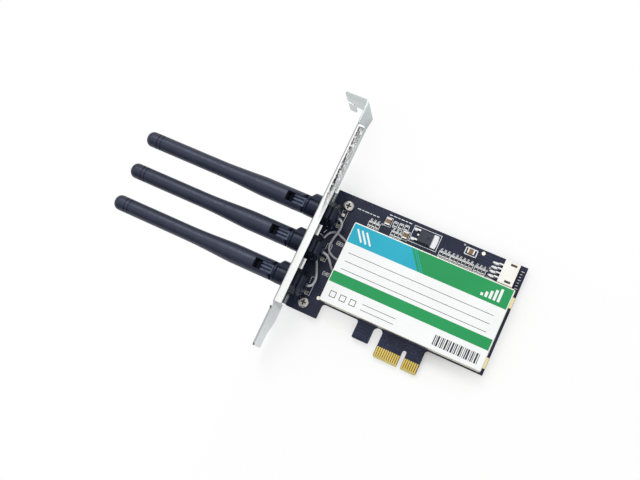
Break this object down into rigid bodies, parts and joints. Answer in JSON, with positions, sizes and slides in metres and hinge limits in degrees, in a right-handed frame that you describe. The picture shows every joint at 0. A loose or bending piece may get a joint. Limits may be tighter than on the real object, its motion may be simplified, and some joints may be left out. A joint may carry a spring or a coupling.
{
  "type": "wireless network card",
  "caption": "Dark circuit card with an edge connector, a folded metal bracket, a shielded radio module under a printed cover, and stub antennas that swivel and fold.",
  "frame": {"origin": "mating edge of the edge contacts, on the centre line of the key slot, on the component face", "axes": "+X along the board away from the bracket, +Y from the edge contacts towards the bracket's screw tab, +Z out of the component face"},
  "size_m": [0.1849, 0.1209, 0.0216],
  "materials": {
    "solder_mask": "dark blue-black solder mask over glass laminate",
    "contact_gold": "gold plating",
    "nickel_plate": "bright nickel plate on sheet steel",
    "screw_steel": "plated steel",
    "antenna_plastic": "fine satin charcoal moulding",
    "nut_plastic": "black moulding",
    "coax_jacket": "smooth grey jacket",
    "radiator_brass": "drawn brass",
    "tinned_sheet": "bright tinned sheet",
    "label_film": "printed film",
    "module_mask": "green solder mask",
    "socket_plastic": "black moulding",
    "header_plastic": "cream moulding",
    "tinned_lead": "tinned",
    "regulator_plastic": "moulded package",
    "chip_body": "glazed film",
    "ceramic_body": "bare ceramic"
  },
  "bodies": {
    "card": {"pcb": "solder_mask", "edge_contacts": "contact_gold", "bare_pads": "contact_gold", "bracket": "nickel_plate", "bracket_screws": "screw_steel", "antenna_base_1": "antenna_plastic", "antenna_base_2": "antenna_plastic", "antenna_base_3": "antenna_plastic", "antenna_nut_1": "nut_plastic", "antenna_nut_2": "nut_plastic", "antenna_nut_3": "nut_plastic", "coax_1": "coax_jacket", "coax_2": "coax_jacket", "coax_3": "coax_jacket", "coax_plugs": "contact_gold", "coax_sockets": "contact_gold", "shield_cover": "tinned_sheet", "label": "label_film", "module_board": "module_mask", "module_shield": "tinned_sheet", "module_socket": "socket_plastic", "module_standoffs": "screw_steel", "module_screws": "screw_steel", "header_housing": "header_plastic", "header_pins": "tinned_lead", "regulator_body": "regulator_plastic", "regulator_leads": "tinned_lead", "chip_resistors": "chip_body", "ceramic_capacitors": "ceramic_body", "chip_terminals": "tinned_lead"},
    "knuckle_1": {"knuckle_1": "antenna_plastic"},
    "mast_1": {"mast_1": "antenna_plastic", "hinge_pin_1": "screw_steel", "radiator_1": "radiator_brass"},
    "knuckle_2": {"knuckle_2": "antenna_plastic"},
    "mast_2": {"mast_2": "antenna_plastic", "hinge_pin_2": "screw_steel", "radiator_2": "radiator_brass"},
    "knuckle_3": {"knuckle_3": "antenna_plastic"},
    "mast_3": {"mast_3": "antenna_plastic", "hinge_pin_3": "screw_steel", "radiator_3": "radiator_brass"}
  },
  "joints": [
    {"name": "swivel_1", "type": "hinge", "parent": "card", "child": "knuckle_1", "pos_m": [-0.05996, 0.0494, 0.007], "axis": [1, 0, 0], "range_deg": [-180, 180]},
    {"name": "fold_1", "type": "hinge", "parent": "knuckle_1", "child": "mast_1", "pos_m": [-0.07175, 0.0494, 0.007], "axis": [0, 1, 0], "range_deg": [0, 90]},
    {"name": "swivel_2", "type": "hinge", "parent": "card", "child": "knuckle_2", "pos_m": [-0.05996, 0.0326, 0.007], "axis": [1, 0, 0], "range_deg": [-180, 180]},
    {"name": "fold_2", "type": "hinge", "parent": "knuckle_2", "child": "mast_2", "pos_m": [-0.07175, 0.0326, 0.007], "axis": [0, 1, 0], "range_deg": [0, 90]},
    {"name": "swivel_3", "type": "hinge", "parent": "card", "child": "knuckle_3", "pos_m": [-0.05996, 0.0158, 0.007], "axis": [1, 0, 0], "range_deg": [-180, 180]},
    {"name": "fold_3", "type": "hinge", "parent": "knuckle_3", "child": "mast_3", "pos_m": [-0.07175, 0.0158, 0.007], "axis": [0, 1, 0], "range_deg": [0, 90]}
  ]
}
